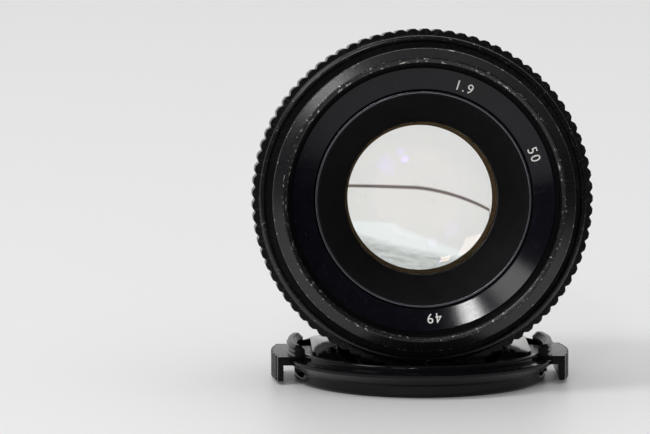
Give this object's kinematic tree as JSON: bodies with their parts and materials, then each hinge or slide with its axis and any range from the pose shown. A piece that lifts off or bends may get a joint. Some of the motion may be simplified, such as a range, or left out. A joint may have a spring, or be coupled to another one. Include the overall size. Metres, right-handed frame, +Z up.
{
  "type": "prime camera lens",
  "caption": "Manual-focus standard prime lens for a screw-mount reflex camera, with helicoid, iris and screw mount, lying on its clip-on front cap.",
  "frame": {"origin": "middle of the cap's outer face, where it lies on the table", "axes": "+Z up from the table, the front of the lens looks along -Y and 6 degrees upwards, +X to the right as seen from the front"},
  "size_m": [0.061, 0.0545, 0.0644],
  "materials": {
    "black_anodised": "black anodised, satin, worn bright on the edges",
    "matte_black_metal": "matte black anti-reflection paint",
    "satin_metal": "satin turned",
    "steel": "bright",
    "brass": "turned",
    "blade_steel": "blued spring steel",
    "coated_glass": "polished, with a thin pale coating",
    "cap_plastic": "semi-gloss",
    "tab_plastic": "satin"
  },
  "bodies": {
    "barrel": {"mount_plate": "satin_metal", "mount_screws": "steel", "pin_guide": "satin_metal", "pin_spring": "steel", "fixed_barrel": "black_anodised", "focus_stop_pin": "steel", "index_ring": "black_anodised", "index_ring_screws": "steel", "focus_retainer": "brass", "guide_keys": "brass", "guide_key_screws": "steel", "detent_ball": "steel", "detent_spring": "steel"},
    "focus": {"focus_ring": "black_anodised", "distance_ring": "black_anodised", "distance_ring_screws": "steel"},
    "lens_unit": {"moving_helicoid": "matte_black_metal", "lens_core": "matte_black_metal", "core_screws": "steel", "front_rim": "black_anodised", "name_ring": "black_anodised", "front_cell": "matte_black_metal", "front_cone": "matte_black_metal", "front_spacer": "matte_black_metal", "element_1": "coated_glass", "element_2": "coated_glass", "element_3": "coated_glass", "iris_housing": "matte_black_metal", "iris_circlip": "steel", "element_4": "coated_glass", "element_5": "coated_glass", "element_6": "coated_glass", "rear_cell": "matte_black_metal", "rear_spacer": "matte_black_metal", "rear_retainer": "matte_black_metal"},
    "aperture": {"aperture_ring": "black_anodised", "aperture_fork": "steel"},
    "iris_cam": {"iris_cam_plate": "matte_black_metal", "aperture_lever": "steel"},
    "stop_pin": {"stop_down_pin": "steel"},
    "switch": {"switch_lever": "satin_metal"},
    "cap": {"cap_body": "cap_plastic", "cap_cover": "cap_plastic", "cap_spring_left": "steel", "cap_spring_right": "steel"},
    "tab_left": {"cap_tab_left": "tab_plastic"},
    "tab_right": {"cap_tab_right": "tab_plastic"},
    "blade_1": {"iris_blade_1": "blade_steel"},
    "blade_2": {"iris_blade_2": "blade_steel"},
    "blade_3": {"iris_blade_3": "blade_steel"},
    "blade_4": {"iris_blade_4": "blade_steel"},
    "blade_5": {"iris_blade_5": "blade_steel"},
    "blade_6": {"iris_blade_6": "blade_steel"}
  },
  "joints": [
    {"name": "focus_turn", "type": "hinge", "parent": "barrel", "child": "focus", "pos_m": [0, 0.019, 0.031], "axis": [0, -0.9945, 0.1047], "range_deg": [0, 210]},
    {"name": "focus_slide", "type": "slide", "parent": "barrel", "child": "lens_unit", "axis": [0, -0.9945, 0.1047], "range_m": [0, 0.0068]},
    {"name": "aperture_turn", "type": "hinge", "parent": "barrel", "child": "aperture", "pos_m": [0, 0.019, 0.031], "axis": [0, -0.9945, 0.1047], "range_deg": [0, 42]},
    {"name": "iris_cam_turn", "type": "hinge", "parent": "lens_unit", "child": "iris_cam", "pos_m": [0, 0.019, 0.031], "axis": [0, -0.9945, 0.1047], "range_deg": [0, 42]},
    {"name": "stop_pin_press", "type": "slide", "parent": "barrel", "child": "stop_pin", "axis": [0, -0.9945, 0.1047], "range_m": [0, 0.0022], "stiffness_N_per_m": 100, "springref_m": -0.005, "deforming": ["pin_spring"]},
    {"name": "switch_turn", "type": "hinge", "parent": "barrel", "child": "switch", "pos_m": [0, 0.019, 0.031], "axis": [0, -0.9945, 0.1047], "range_deg": [0, 12]},
    {"name": "cap_lift_off", "type": "slide", "parent": "barrel", "child": "cap", "axis": [0, 0, -1], "range_m": [0, 0.06]},
    {"name": "tab_left_press", "type": "slide", "parent": "cap", "child": "tab_left", "axis": [1, 0, 0], "range_m": [0, 0.0012], "stiffness_N_per_m": 400, "springref_m": -0.0025, "deforming": ["cap_spring_left"]},
    {"name": "tab_right_press", "type": "slide", "parent": "cap", "child": "tab_right", "axis": [-1, 0, 0], "range_m": [0, 0.0012], "stiffness_N_per_m": 400, "springref_m": -0.0025, "deforming": ["cap_spring_right"]},
    {"name": "blade_1_swing", "type": "hinge", "parent": "lens_unit", "child": "blade_1", "pos_m": [0.0162, 0.01005, 0.03194], "axis": [0, -0.9945, 0.1047], "range_deg": [0, 29.69]},
    {"name": "blade_2_swing", "type": "hinge", "parent": "lens_unit", "child": "blade_2", "pos_m": [0.0081, 0.01152, 0.0459], "axis": [0, -0.9945, 0.1047], "range_deg": [0, 29.69]},
    {"name": "blade_3_swing", "type": "hinge", "parent": "lens_unit", "child": "blade_3", "pos_m": [-0.0081, 0.01152, 0.0459], "axis": [0, -0.9945, 0.1047], "range_deg": [0, 29.69]},
    {"name": "blade_4_swing", "type": "hinge", "parent": "lens_unit", "child": "blade_4", "pos_m": [-0.0162, 0.01005, 0.03194], "axis": [0, -0.9945, 0.1047], "range_deg": [0, 29.69]},
    {"name": "blade_5_swing", "type": "hinge", "parent": "lens_unit", "child": "blade_5", "pos_m": [-0.0081, 0.00858, 0.01799], "axis": [0, -0.9945, 0.1047], "range_deg": [0, 29.69]},
    {"name": "blade_6_swing", "type": "hinge", "parent": "lens_unit", "child": "blade_6", "pos_m": [0.0081, 0.00858, 0.01799], "axis": [0, -0.9945, 0.1047], "range_deg": [0, 29.69]}
  ],
  "couplings": [
    {"joint": "focus_slide", "follows": "focus_turn", "m_per_rad": 0.0018553},
    {"joint": "iris_cam_turn", "follows": "aperture_turn", "ratio": 1},
    {"joint": "blade_1_swing", "follows": "aperture_turn", "ratio": 0.70681},
    {"joint": "blade_2_swing", "follows": "aperture_turn", "ratio": 0.70681},
    {"joint": "blade_3_swing", "follows": "aperture_turn", "ratio": 0.70681},
    {"joint": "blade_4_swing", "follows": "aperture_turn", "ratio": 0.70681},
    {"joint": "blade_5_swing", "follows": "aperture_turn", "ratio": 0.70681},
    {"joint": "blade_6_swing", "follows": "aperture_turn", "ratio": 0.70681}
  ]
}
